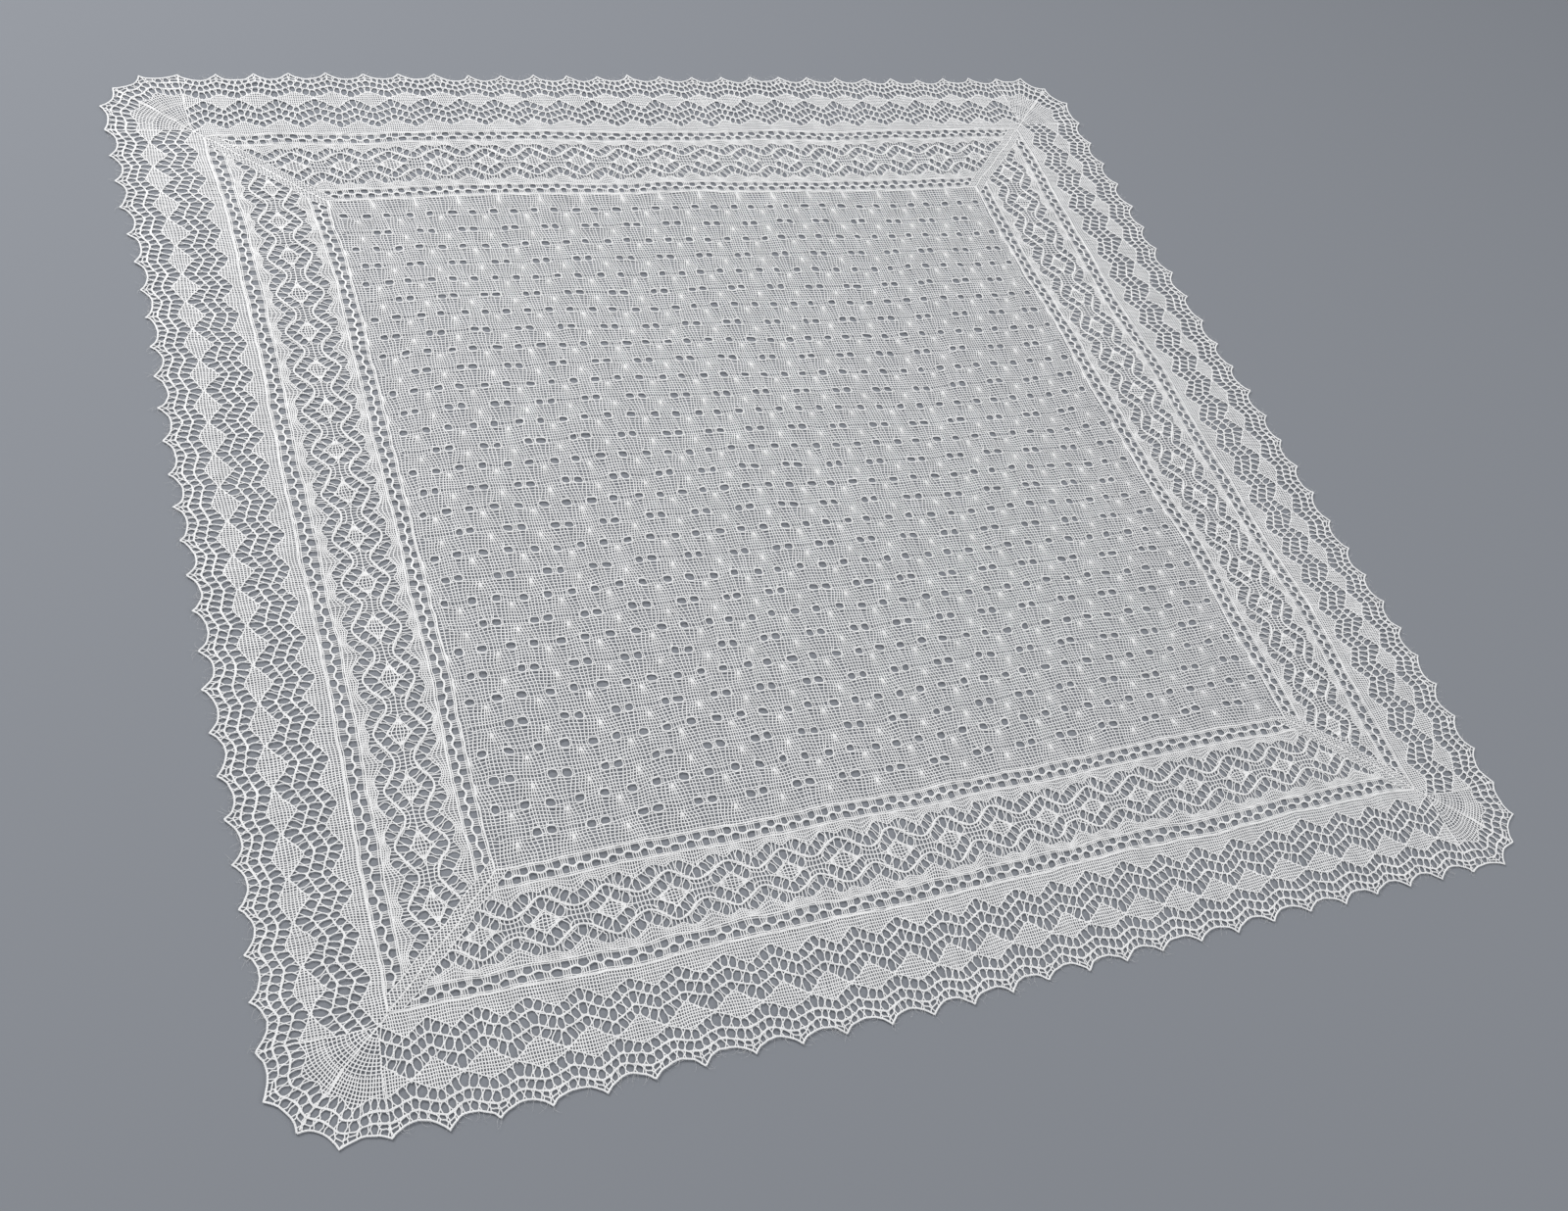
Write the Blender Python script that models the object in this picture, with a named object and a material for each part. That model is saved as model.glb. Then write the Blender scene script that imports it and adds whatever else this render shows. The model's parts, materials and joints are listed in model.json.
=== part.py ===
"""A square knitted lace shawl laid out flat.

A plain centre panel is framed by four mitred insertion borders and four mitred lace
edgings with a scalloped outer line and rounded corners. Each piece is a wall with a
flat underside at z = 0. The largest gap of each repeat is cut through the borders and
the edgings. Metres, +Z up, +Y towards the far side, origin under the shawl's middle.
"""

import math

import bmesh
import bpy
from mathutils import Matrix

# Driving sizes, in metres
WALL = 0.0012
SEAM = 0.0003
CENTRE_HALF = 0.425
BORDER_DEPTH = 0.1143
TIP_DEPTH = 0.2206
SCALLOP_RISE = 0.0106

# The edging's repeat is a whole share of the straight stretch between corner scallops
SIDE_TIPS = 27
TIP_PITCH = 0.0423
SCALLOP_STEPS = 5

# The insertion's repeat
FLOWERS = 15
FLOWER_PITCH = 0.056

# The two scallop tips that round each corner, seen from the side's own middle line:
# along the side, and out from the centre panel's edge
CORNER_TIPS = (
    {"along": 0.5920, "out": 0.2190},
    {"along": 0.6220, "out": 0.1970},
)
CORNER_RISE = 0.0065

# The gaps cut through one flower of the insertion: along from the flower's middle,
# out from the centre panel's edge, width and height
INSERTION_GAPS = (
    {"along": 0.0013, "out": 0.0394, "width": 0.0095, "height": 0.0135},
    {"along": -0.0013, "out": 0.0750, "width": 0.0090, "height": 0.0115},
    {"along": 0.0185, "out": 0.0305, "width": 0.0114, "height": 0.0132},
)

# The gap cut through one repeat of the edging, midway between two tips
EDGING_GAP = {"out": 0.1831, "width": 0.0097, "height": 0.0132}
EDGING_GAPS = SIDE_TIPS + 1

WOOL = (0.86, 0.85, 0.84, 1.0)
WOOL_ROUGHNESS = 0.9

# The four sides, with the turn that takes the near side to each of them
SIDES = (
    {"name": "near", "turn": 0.0},
    {"name": "right", "turn": 0.5 * math.pi},
    {"name": "far", "turn": math.pi},
    {"name": "left", "turn": 1.5 * math.pi},
)


def wool(name):
    """A dull white fibre finish."""
    material = bpy.data.materials.new(name)
    material.use_nodes = True
    shader = material.node_tree.nodes["Principled BSDF"]
    shader.inputs["Base Color"].default_value = WOOL
    shader.inputs["Roughness"].default_value = WOOL_ROUGHNESS
    shader.inputs["Metallic"].default_value = 0.0
    return material


def ring_of_edges(bm, points):
    """Adds a closed ring of edges at z = 0."""
    verts = [bm.verts.new((x, y, 0.0)) for x, y in points]
    for first, second in zip(verts, verts[1:] + verts[:1]):
        bm.edges.new((first, second))


def wall(name, outline, gaps, turn):
    """Fills an outline with its gaps left open, and raises it to the cloth's thickness."""
    bm = bmesh.new()
    ring_of_edges(bm, outline)
    for gap in gaps:
        ring_of_edges(bm, gap)
    bmesh.ops.triangle_fill(bm, use_beauty=True, use_dissolve=False, edges=bm.edges[:])
    raised = bmesh.ops.extrude_face_region(bm, geom=bm.faces[:])["geom"]
    top = [item for item in raised if isinstance(item, bmesh.types.BMVert)]
    bmesh.ops.translate(bm, verts=top, vec=(0.0, 0.0, WALL))
    bmesh.ops.recalc_face_normals(bm, faces=bm.faces[:])
    mesh = bpy.data.meshes.new(name)
    bm.to_mesh(mesh)
    bm.free()
    piece = bpy.data.objects.new(name, mesh)
    piece.matrix_world = Matrix.Rotation(turn, 4, "Z")
    piece.data.materials.append(wool(name + "_wool"))
    bpy.context.scene.collection.objects.link(piece)


def gap_outline(along, out, width, height):
    """A six-sided gap with its points up and down, in the near side's place."""
    y = -(CENTRE_HALF + out)
    half = 0.5 * width
    quarter = 0.25 * height
    return [
        (along, y - 2.0 * quarter),
        (along + half, y - quarter),
        (along + half, y + quarter),
        (along, y + 2.0 * quarter),
        (along - half, y + quarter),
        (along - half, y - quarter),
    ]


def scallop(start, end, rise):
    """Points on the arc from one tip to the next, hollowed towards the shawl's middle."""
    chord = math.hypot(end[0] - start[0], end[1] - start[1])
    radius = 0.5 * rise + chord * chord / (8.0 * rise)
    half_turn = math.asin(0.5 * chord / radius)
    along = ((end[0] - start[0]) / chord, (end[1] - start[1]) / chord)
    # The way in is to the left of the walk, because the walk runs along the near side to +X
    inward = (-along[1], along[0])
    points = [start]
    for step in range(1, SCALLOP_STEPS):
        angle = half_turn * (2.0 * step / SCALLOP_STEPS - 1.0)
        run = 0.5 * chord + radius * math.sin(angle)
        lift = rise - radius * (1.0 - math.cos(angle))
        points.append(
            (
                start[0] + run * along[0] + lift * inward[0],
                start[1] + run * along[1] + lift * inward[1],
            )
        )
    return points


def centre_panel():
    """The square panel in the middle, whose net of small eyelets is left closed."""
    half = CENTRE_HALF - 0.5 * SEAM
    wall("centre_panel", [(-half, -half), (half, -half), (half, half), (-half, half)], [], 0.0)


def insertion(side):
    """One mitred border with a row of flowers, seen as the near side and then turned."""
    inner = CENTRE_HALF + 0.5 * SEAM
    outer = CENTRE_HALF + BORDER_DEPTH - 0.5 * SEAM
    mitre = 0.5 * SEAM * math.sqrt(2.0)
    outline = [
        (-outer + mitre, -outer),
        (outer - mitre, -outer),
        (inner - mitre, -inner),
        (-inner + mitre, -inner),
    ]
    gaps = []
    for flower in range(FLOWERS):
        middle = (flower - 0.5 * (FLOWERS - 1)) * FLOWER_PITCH
        for gap in INSERTION_GAPS:
            along = middle + gap["along"]
            gaps.append(gap_outline(along, gap["out"], gap["width"], gap["height"]))
    wall("insertion_" + side["name"], outline, gaps, side["turn"])


def edging_tips():
    """The scallop tips of the near side from mitre to mitre."""
    straight = [
        ((tip - 0.5 * (SIDE_TIPS - 1)) * TIP_PITCH, -(CENTRE_HALF + TIP_DEPTH))
        for tip in range(SIDE_TIPS)
    ]
    right = [(tip["along"], -(CENTRE_HALF + tip["out"])) for tip in CORNER_TIPS]
    # The last corner tip lies on the mitre, and gives way to the seam's half
    mitre = 0.5 * SEAM * math.sqrt(2.0)
    right[-1] = (right[-1][0] - mitre, right[-1][1])
    left = [(-x, y) for x, y in reversed(right)]
    return left + straight + right


def edging(side):
    """One mitred lace edging, seen as the near side and then turned."""
    tips = edging_tips()
    last_straight = len(CORNER_TIPS) + SIDE_TIPS - 1
    outline = []
    for index, (start, end) in enumerate(zip(tips, tips[1:])):
        on_corner = index < len(CORNER_TIPS) or index >= last_straight
        outline += scallop(start, end, CORNER_RISE if on_corner else SCALLOP_RISE)
    outline.append(tips[-1])
    inner = CENTRE_HALF + BORDER_DEPTH + 0.5 * SEAM
    mitre = 0.5 * SEAM * math.sqrt(2.0)
    outline += [(inner - mitre, -inner), (-inner + mitre, -inner)]
    gaps = []
    for gap in range(EDGING_GAPS):
        along = (gap - 0.5 * (EDGING_GAPS - 1)) * TIP_PITCH
        gaps.append(gap_outline(along, **EDGING_GAP))
    wall("edging_" + side["name"], outline, gaps, side["turn"])


def main():
    for item in list(bpy.data.objects):
        bpy.data.objects.remove(item, do_unlink=True)
    centre_panel()
    for side in SIDES:
        insertion(side)
        edging(side)


main()
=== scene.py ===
"""The looks of a knitted lace shawl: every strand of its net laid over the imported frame.

The lace is charted in millimetres, one repeat at a time. A repeat starts as straight
columns and rows of yarn, its holes open and push the strands aside, and the settled
repeat is laid along each side and clipped at the mitres.
"""

import json
import math
from functools import partial

import bpy
import numpy as np
from mathutils import Matrix, Vector


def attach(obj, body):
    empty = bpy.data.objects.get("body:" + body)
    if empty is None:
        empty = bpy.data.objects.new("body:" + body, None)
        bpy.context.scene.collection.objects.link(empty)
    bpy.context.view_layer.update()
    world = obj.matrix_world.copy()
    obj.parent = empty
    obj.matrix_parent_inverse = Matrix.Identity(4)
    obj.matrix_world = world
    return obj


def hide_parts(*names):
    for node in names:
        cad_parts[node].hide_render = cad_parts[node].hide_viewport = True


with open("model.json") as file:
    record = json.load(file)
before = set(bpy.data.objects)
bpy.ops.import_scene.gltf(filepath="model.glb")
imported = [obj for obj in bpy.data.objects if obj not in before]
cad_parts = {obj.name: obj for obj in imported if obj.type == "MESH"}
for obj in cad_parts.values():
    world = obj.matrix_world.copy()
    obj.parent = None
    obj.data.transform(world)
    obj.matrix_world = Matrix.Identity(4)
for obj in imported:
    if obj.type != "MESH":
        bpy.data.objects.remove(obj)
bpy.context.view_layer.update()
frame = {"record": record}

# Sizes that follow the solids, in millimetres
CENTRE_HALF = 425.0
BORDER_DEPTH = 114.3
TIP_DEPTH = 220.6
TIP_PITCH = 42.3
SCALLOP_RISE = 10.6
CORNER_TIPS = ((592.0, 219.0), (622.0, 197.0))
CORNER_RISE = 6.5
FLOWER_PITCH = 56.0
EYELET_PITCH = 14.3

# Half widths of the strands, and how high the lower edge of each lies
THIN = 0.5
FINE = 0.55
RIM = 0.6
THICK = 0.95
BOUND = 0.88
LOW = 0.08
MID = 0.3
HIGH = 0.45

# How far apart a strand's points are before it is simplified
SAMPLE = 1.1
# Repeats that are charted together, each with its own unevenness
GROUP = 3
# How stiff a strand is while the holes open, and when they are fully open, as a share of
# the rounds
STIFF = 0.6
FULLY_OPEN = 0.6
# A period or a limit that nothing reaches
ENDLESS = 1e9
# Half width of the thin line along a piece's edge
EDGE_LINE = 0.4


def soft_wave(phase, sharp=0.95):
    """1 at whole phases and -1 halfway, a zigzag with rounded corners."""
    return np.arcsin(sharp * np.cos(2 * np.pi * phase)) / math.asin(sharp)


def between(at_whole, at_half, phase, sharp=0.95):
    """A zigzag line that reaches one depth at whole phases and the other halfway."""
    w = soft_wave(phase, sharp)
    return 0.5 * (at_whole * (1 + w) + at_half * (1 - w))


def smooth(x, low, high):
    """0 below low and 1 above high, with an even climb between them."""
    t = np.clip((x - low) / (high - low), 0, 1)
    return t * t * (3 - 2 * t)


def uneven(holes, seed):
    """The same holes as a knitter's hand leaves them, no two quite alike."""
    rng = np.random.default_rng(seed)
    out = []
    for x, y, a, b, tilt in holes:
        a *= 1 + 0.14 * (rng.uniform() < 0.15)
        x, y = np.array([x, y]) + rng.uniform(-0.4, 0.4, 2)
        a, b = np.array([a, b]) * rng.uniform([0.92, 0.9], [1.04, 1.05])
        out.append((x, y, a, b, tilt + rng.uniform(-0.1, 0.1)))
    return out


def settle(start, wrap, holes, period, period_y=None, rounds=60, hold=0.12, square=2.0):
    """How far each point of the strands moves when the holes open.

    A hole is its middle, its half width and half height, and its tilt. It is an ellipse
    with fuller corners, the fuller the larger square is. Strands are stiff, and the more
    they hold, the sooner they are back in their place beside a hole.
    """
    moved = np.zeros_like(start)
    for turn in range(rounds):
        grow = min(1.0, (turn + 1.0) / (FULLY_OPEN * rounds))
        mean = moved.copy()
        if wrap:
            mean = 0.5 * (np.roll(moved, 1, axis=1) + np.roll(moved, -1, axis=1))
        else:
            mean[:, 1:-1] = 0.5 * (moved[:, :-2] + moved[:, 2:])
        moved = ((1 - STIFF) * moved + STIFF * mean) * (1 - hold)
        p = start + moved
        for x, y, a, b, tilt in holes:
            rx = p[..., 0] - x
            rx = rx - period * np.round(rx / period)
            ry = p[..., 1] - y
            if period_y:
                ry = ry - period_y * np.round(ry / period_y)
            near = (np.abs(rx) < a + b) & (np.abs(ry) < a + b)
            if not near.any():
                continue
            rx, ry = rx[near], ry[near]
            c, s = math.cos(tilt), math.sin(tilt)
            u = (c * rx + s * ry) / (a * grow)
            v = (-s * rx + c * ry) / (b * grow)
            inside = (np.abs(u) ** square + np.abs(v) ** square) ** (1 / square) + 1e-9
            k = np.where(inside < 1, 1 / inside, 1.0) * grow
            u, v = u * k * a, v * k * b
            p[..., 0][near] += c * u - s * v - rx
            p[..., 1][near] += s * u + c * v - ry
        moved = p - start
    return moved


def upright(x, first, last, n):
    """A straight column of n points, from one depth to another."""
    return np.c_[np.full(n, x), np.linspace(first, last, n)]


def level(xs, depth):
    """A straight row at one depth."""
    return np.c_[xs, np.full(len(xs), depth)]


def evened(moved, reach=5):
    """The same moves with their kinks taken out along the strand, for thick lines."""
    total = sum(np.roll(moved, k, axis=0) for k in range(-reach, reach + 1))
    return total / (2 * reach + 1)


class Yarns:
    """Strands in plan, each with its heights and half widths.

    A negative half width marks a strand that has no ridge, only rounded shading.
    """

    def __init__(self):
        self.runs = []

    def add(self, points, keep, height, width):
        """Adds the stretches of a strand that are kept."""
        n = len(points)
        height = np.broadcast_to(np.asarray(height, float), n)
        width = np.broadcast_to(np.asarray(width, float), n)
        kept = np.flatnonzero(keep)
        if not len(kept):
            return
        for run in np.split(kept, np.flatnonzero(np.diff(kept) > 1) + 1):
            if len(run) > 1:
                self.runs.append((points[run], height[run], width[run]))


# The centre panel's lace, in millimetres
REPEAT = 50.0
COLUMN = REPEAT / 16
ROWS_BETWEEN = 8
LACE_ROW_RISE = 27.4
ROW = LACE_ROW_RISE / ROWS_BETWEEN
FIRST_LACE_ROW = 27.5
REPEATS_ACROSS = 17
GROUP_ACROSS = 3
GROUP_UP = 2
# The lace rows from below: where its decrease lies, how many columns beside that its
# eyelets lie, how far below the eyelets the decrease lies, as a share of the rise, and an
# eyelet's half width and half height
LACE_ROWS = (
    {"at": 0.0, "beside": 6, "below": 0.3, "half": (4.9, 4.5)},
    {"at": 0.0, "beside": 4, "below": 0.24, "half": (5.0, 4.3)},
    {"at": 25.0, "beside": 6, "below": 0.3, "half": (4.9, 4.5)},
    {"at": 25.0, "beside": 4, "below": 0.24, "half": (5.0, 4.3)},
)
# Where each column from the decrease on ends below a lace row and starts above one
COLUMN_ENDS = {
    4: (0, 0.25, 0.9, 2.0, 3.4, 5.0, 6.0, 7.0, 8.0),
    6: (0, 0.25, 0.9, 1.8, 2.8, 3.9, 5.15, 6.7, 8.0),
}
COLUMN_STARTS = {
    4: (0, 0.9, 2.0, 3.4, 4.2, 5.0, 6.0, 7.0, 8.0),
    6: (0, 0.9, 1.8, 2.8, 3.9, 5.15, 5.9, 6.7, 8.0),
}
# Eyelets lie this many columns from the decrease
EYELET_AT = {4: 4.2, 6: 5.9}
# The strip along the panel's sides where no eyelets open
PLAIN_MARGIN = 11.0
# The strands stay close to the chart in the centre, and its eyelets have fuller corners
CENTRE_SETTLE = {"hold": 0.02, "square": 2.4}
# A decrease's knot, from below: its points, their heights and their half widths
KNOT = np.array([[0, -4.5], [0, -2.0], [0, 0.8], [0, 2.6]])
KNOT_HEIGHTS = (0.2, 0.4, 0.5, 0.2)
KNOT_WIDTHS = (0.6, 1.7, 2.1, 0.6)


def centre_repeat():
    """The holes, columns and knots of one group of the centre panel's repeats."""
    holes, columns, keeps, widths, knots = [], [], [], [], []
    t = np.linspace(0, 1, 26)
    for b in range(len(LACE_ROWS) * GROUP_UP):
        row, before = LACE_ROWS[b % 4], LACE_ROWS[(b - 1) % 4]
        moved_on = int(round((row["at"] - before["at"]) / COLUMN))
        decrease = 1 - row["below"]
        for repeat in range(GROUP_ACROSS):
            middle = row["at"] + REPEAT * repeat
            for k in range(-7, 9):
                rel = (k + moved_on + 7) % 16 - 7
                begin = math.copysign(COLUMN_STARTS[before["beside"]][abs(rel)], rel) - rel
                end = math.copysign(COLUMN_ENDS[row["beside"]][abs(k)], k) - k
                lean = np.minimum(1, t / decrease) ** 2.1
                x = k + begin * np.exp(-((t / 0.4) ** 2)) + end * lean
                columns.append(np.c_[x * COLUMN + middle, LACE_ROW_RISE * (b + t)])
                first = 0.17 if abs(rel) == before["beside"] else -1
                last = decrease + 0.04 if abs(k) == 1 else 2
                keeps.append((t > first) & (t < last))
                drawn = 0.25 * np.exp(-(((t - decrease) / 0.12) ** 2)) * (abs(k) < 3)
                widths.append((THIN + drawn) * (1 if k % 2 else -1))
            for sign in (-1, 1):
                x = middle + sign * EYELET_AT[row["beside"]] * COLUMN
                holes.append((x, LACE_ROW_RISE * (b + 1), *row["half"], 0.0))
            knots.append((middle, LACE_ROW_RISE * (b + decrease)))
    return uneven(holes, 3), np.array(columns), keeps, widths, knots


def centre(yarns):
    """The centre panel: a plain net with staggered single and paired eyelets."""
    period, period_y = REPEAT * GROUP_ACROSS, 4 * LACE_ROW_RISE * GROUP_UP
    holes, columns, keeps, widths, knots = centre_repeat()
    column_moves = settle(columns, False, holes, period, period_y, **CENTRE_SETTLE)
    n = int(round(period / SAMPLE))
    xs = np.arange(n) * period / n
    rows = []
    for j in range(4 * ROWS_BETWEEN * GROUP_UP):
        row = LACE_ROWS[j // ROWS_BETWEEN % 4]
        dip = (j % ROWS_BETWEEN) / ROWS_BETWEEN
        wave = np.cos(2 * np.pi * (xs - row["at"]) / REPEAT)
        rows.append(np.c_[xs, (j + 0.5) * ROW - dip * wave])
    rows = np.array(rows)
    row_moves = settle(rows, True, holes, period, period_y, **CENTRE_SETTLE)
    x0 = -0.5 * (REPEATS_ACROSS - 1) * REPEAT
    y0 = -CENTRE_HALF + FIRST_LACE_ROW - LACE_ROW_RISE
    across = int(2 * CENTRE_HALF / period) + 2
    up = int(2 * CENTRE_HALF / period_y) + 2

    def lay(start, moved, keep, height, width):
        """Lays a strand of the net, whose eyelets stay shut near the panel's sides."""
        room = CENTRE_HALF - np.abs(start).max(axis=1)
        p = start + moved * smooth(room, PLAIN_MARGIN - 4, PLAIN_MARGIN)[:, None]
        inside = (np.abs(p) < CENTRE_HALF).all(axis=1)
        yarns.add(p, (keep | (room < PLAIN_MARGIN)) & inside, height, width)

    for m in range(-1, up):
        for row, moved in zip(rows, row_moves):
            start = np.concatenate([row + [k * period, 0] for k in range(-1, across)])
            every = np.ones(len(start), bool)
            moved = np.tile(moved, (across + 1, 1))
            lay(start + [x0, y0 + m * period_y], moved, every, MID, -THIN)
        for k in range(-1, across):
            corner = [x0 + k * period, y0 + m * period_y]
            for column, moved, keep, width in zip(columns, column_moves, keeps, widths):
                lay(column + corner, moved, keep, LOW, width)
            for x, y in knots:
                p = KNOT + [x, y] + corner
                if np.abs(p).max() < CENTRE_HALF - PLAIN_MARGIN:
                    yarns.add(p, np.ones(len(KNOT), bool), KNOT_HEIGHTS, KNOT_WIDTHS)
    side = np.linspace(-CENTRE_HALF, CENTRE_HALF, 260)
    every = np.ones(len(side), bool)
    for q in (CENTRE_HALF, -CENTRE_HALF):
        across = np.full(len(side), q)
        yarns.add(np.c_[side, across], every, LOW, EDGE_LINE)
        yarns.add(np.c_[across, side], every, LOW, EDGE_LINE)


# Where a strand of a side is laid: everywhere, outside the plain band beside each mitre, or
# only in that band
ALL, OPEN, PLAIN = "all", "open", "plain"
# The plain band's width, measured along the side, and where the holes start and end opening
PLAIN_BAND = 12.5
OPENING = (8.0, 17.0)
# Strands end this far from the mitre
MITRE_GAP = 0.35


class Side:
    """One mitred side, charted along x and out from the centre panel's edge."""

    def __init__(self, yarns, reach, limit=ENDLESS):
        self.yarns = yarns
        self.reach = reach
        self.limit = limit

    def lay(self, start, moved, period, keep, height, width, where=ALL):
        """Lays one strand in every repeat along the side."""
        count = int(self.reach / period) + 2
        shifts = [[k * period, 0] for k in range(-count, count + 1)]
        if abs(start[-1, 0] - start[0, 0]) < 0.5 * period:
            for shift in shifts:
                self.lay_one(start + shift, moved, keep, height, width, where)
            return
        whole = np.concatenate([start + shift for shift in shifts])
        moved = np.tile(moved, (len(shifts), 1))
        self.lay_one(whole, moved, np.tile(keep, len(shifts)), height, width, where)

    def lay_one(self, start, moved, keep, height, width, where):
        """Lays a strand up to the mitres. A plain net without holes runs along those."""
        room = CENTRE_HALF + start[:, 1] - np.abs(start[:, 0])
        openness = smooth(room, *OPENING)
        p = start + moved * openness[:, None]
        keep = keep & (np.abs(p[:, 0]) < CENTRE_HALF + p[:, 1] - MITRE_GAP)
        keep = keep & (np.abs(p[:, 0]) < self.limit)
        room = CENTRE_HALF + p[:, 1] - np.abs(p[:, 0])
        if where == OPEN:
            keep = keep & (room > PLAIN_BAND)
        if where == PLAIN:
            keep = keep & (room < PLAIN_BAND + 0.4)
        self.yarns.add(p, keep, height, np.minimum(width, THIN + openness))


def seam(yarns, first, last):
    """Plain lines of yarn along each mitre and along the plain band beside it."""
    d = np.linspace(first, last, 40)
    for sign in (-1, 1):
        for back, width in ((0.6, EDGE_LINE), (PLAIN_BAND + 0.2, THIN)):
            p = np.c_[sign * (CENTRE_HALF + d - back), d]
            yarns.add(p, np.ones(len(d), bool), LOW, width)


# A double row of eyelets: how deep it is, the plain rows along it, the middle of each row
# of eyelets, an eyelet's half width and half height, and the columns beside an eyelet
EYELET_BAND = 17.7
EYELET_LINES = (0.0, 1.8, 15.9, EYELET_BAND)
EYELET_MIDDLES = (5.6, 12.1)
EYELET_HALF = (4.25, 4.15)
EYELET_COLUMNS = (-3.8, 3.8, 6.15, 8.15)
# The wavy cord between the two rows: its depth, its swing and half the step between its
# two strands
CORD_DEPTH = 8.85
CORD_SWING = 1.2
CORD_BESIDE = 0.4


def eyelet_rows(side, first):
    """Two staggered rows of eyelets with a thick wavy line between them."""
    period = EYELET_PITCH * GROUP
    n = 14 * GROUP
    xs = np.arange(n) * period / n
    last = first + EYELET_BAND

    def middle(x):
        return first + CORD_DEPTH + CORD_SWING * np.cos(2 * np.pi * x / EYELET_PITCH)

    holes, columns = [], []
    for repeat in range(GROUP):
        x = repeat * EYELET_PITCH
        for row, depth in enumerate(EYELET_MIDDLES):
            holes.append((x + 0.5 * row * EYELET_PITCH, first + depth, *EYELET_HALF, 0.0))
        for beside in EYELET_COLUMNS:
            u = x + beside
            columns.append(upright(u, first, middle(u), 11))
            u = u + 0.5 * EYELET_PITCH
            columns.append(upright(u, middle(u), last, 11))
    holes = uneven(holes, int(first) + 1)
    columns = np.array(columns)
    for s, m in zip(columns, settle(columns, False, holes, period)):
        side.lay(s, m, period, np.ones(len(s), bool), LOW, THIN, OPEN)
    every = np.ones(n, bool)
    flat = np.full(n, first)
    lines = [(flat + d, THIN) for d in EYELET_LINES]
    lines += [(middle(xs) - CORD_BESIDE, RIM), (middle(xs) + CORD_BESIDE, RIM)]
    start = np.array([np.c_[xs, y] for y, _ in lines])
    for s, m, (_, width) in zip(start, settle(start, True, holes, period), lines):
        side.lay(s, m, period, every, MID, width, OPEN)


# The shortest column of the fine net, and how far apart its points are
NET_SHORTEST = 1.5
NET_SAMPLE = 2.5


def depth_at(line, x):
    """A line's depth at x. A level line is given as its depth alone."""
    return line if isinstance(line, float) else float(line(x))


def fine_net(side, pitch, count, top, bottom, where=ALL):
    """Closely set columns between two lines, for the solid parts of the lace."""
    for k in range(count):
        x = (k + 0.5) * pitch
        first, last = depth_at(top, x), depth_at(bottom, x)
        if last - first < NET_SHORTEST:
            continue
        start = upright(x, first, last, max(3, int((last - first) / NET_SAMPLE)))
        side.lay(start, 0 * start, count * pitch, np.ones(len(start), bool), LOW, THIN, where)


# The band of waves between the two double rows of eyelets, and where those start
BAND_TOP = 19.2
BAND_BOTTOM = 95.2
EYELETS_START = (0.9, BAND_BOTTOM + 0.4)
# How far from a flower's middle the insertion's lines are charted, and each line's depth
# there, how many rows fill the space below it, and its height and half width, which is
# zero where the line only bounds a row of holes
ALONG = (0, 7, 14, 21, 28)
INSERTION_LINES = {
    "band_top": ((BAND_TOP,) * 5, 4, MID, RIM),
    "upper_tops": ((30.8, 25.8, 25.6, 31.8, 37.3), 0, MID, THIN),
    "upper_bottoms": ((32.3, 33.4, 36.9, 43.7, 48.3), 0, LOW, 0),
    "upper_wave": ((33.5, 36.2, 42.4, 47.4, 49.2), 0, HIGH, THICK),
    "arch_tops": ((34.7, 40.1, 46.2, 52.2, 53.2), 0, MID, THIN),
    "arch_bottoms": ((45.8, 52.2, 57.2, 57.7, 57.7), 6, MID, FINE),
    "bowl_tops": ((70.4, 64.2, 58.9, 58.2, 58.1), 0, MID, FINE),
    "bowl_bottoms": ((81.3, 75.8, 70.4, 63.0, 62.2), 0, MID, THIN),
    "lower_wave": ((82.5, 79.6, 73.8, 68.4, 66.5), 0, HIGH, THICK),
    "lower_tops": ((83.6, 82.4, 78.6, 73.0, 67.6), 0, LOW, 0),
    "lower_bottoms": ((85.4, 89.2, 89.2, 83.4, 78.0), 4, MID, THIN),
    "band_bottom": ((BAND_BOTTOM,) * 5, 0, MID, RIM),
}
# The lines that run only near a flower or only away from it: from and to which distance
# from its middle, and how far the rows inside the flower reach
LINE_SPANS = {
    "bowl_tops": (-1, 19.0),
    "arch_tops": (16.5, ENDLESS),
    "bowl_bottoms": (16.5, ENDLESS),
}
FLOWER_ROWS = 14.0
# Each row of five holes: the lines it lies between, and its middle along the repeat
CLUSTERS = (
    ("upper_tops", "upper_bottoms", 28.0),
    ("arch_tops", "arch_bottoms", 0.0),
    ("bowl_tops", "bowl_bottoms", 0.0),
    ("lower_tops", "lower_bottoms", 28.0),
)
HOLE_STEP = 7.1
HOLE_HALF = 3.75
INSERTION_STITCH = 3.5
NET_STITCH = FLOWER_PITCH / 24
PLAIN_STITCH = 2.6
PLAIN_ROW = 3.2
# How far the columns lean across a row of holes, as a share of its slope
INSERTION_LEAN = 0.32


def insertion_line(name, x):
    """The depth of one of the insertion's lines at x."""
    depth = 0.0
    for beside in (-2.4, -1.2, 0.0, 1.2, 2.4):
        v = np.asarray(x) + beside
        v = np.abs(v - FLOWER_PITCH * np.round(v / FLOWER_PITCH))
        depth = depth + 0.2 * np.interp(v, ALONG, INSERTION_LINES[name][0])
    return depth


def insertion_slope(name, x):
    """How steeply one of the insertion's lines goes down at x."""
    return float(insertion_line(name, x + 0.5) - insertion_line(name, x - 0.5))


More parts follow.
